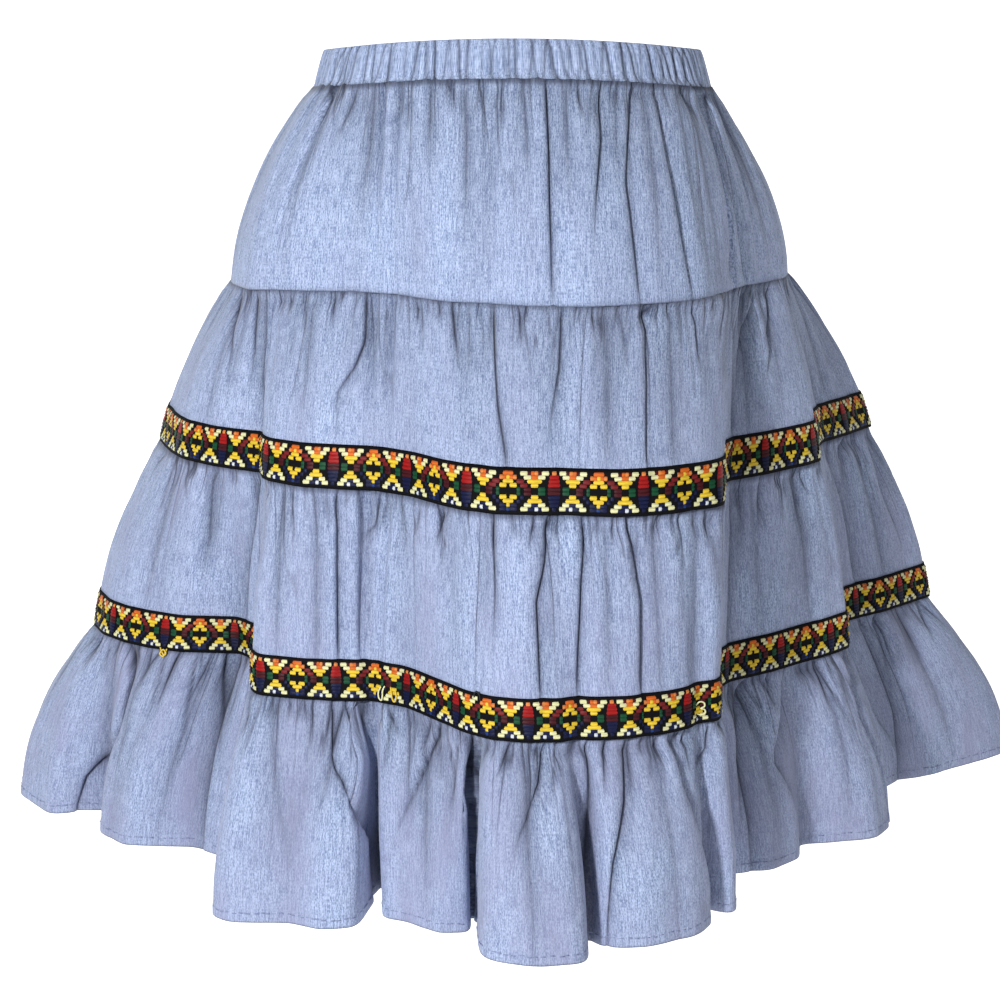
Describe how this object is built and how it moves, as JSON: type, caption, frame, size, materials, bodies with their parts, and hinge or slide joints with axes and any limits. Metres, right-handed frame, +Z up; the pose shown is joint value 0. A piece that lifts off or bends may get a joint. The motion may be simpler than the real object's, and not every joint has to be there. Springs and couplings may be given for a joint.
{
  "type": "tiered gathered skirt",
  "caption": "Mid-length gathered skirt of four widening tiers with an elastic waistband, two patterned ribbons and a deep ruffle at the hem, filled out as if worn.",
  "frame": {"origin": "middle of the waistband, on the skirt's upright axis, where the waist of the person who wears it holds it", "axes": "+Z up towards the top of the waistband, +X to the right of someone who faces the skirt's front, the front towards -Y"},
  "size_m": [0.7888, 0.7073, 0.567],
  "materials": {
    "chambray": "matt woven cotton, pale blue with a lilac cast",
    "ribbon": "woven ribbon, black with coloured figures"
  },
  "bodies": {
    "root": {"waistband": "chambray", "yoke": "chambray", "tier_2": "chambray", "tier_3": "chambray", "ruffle": "chambray", "ribbon_upper": "ribbon", "ribbon_lower": "ribbon"}
  },
  "joints": []
}
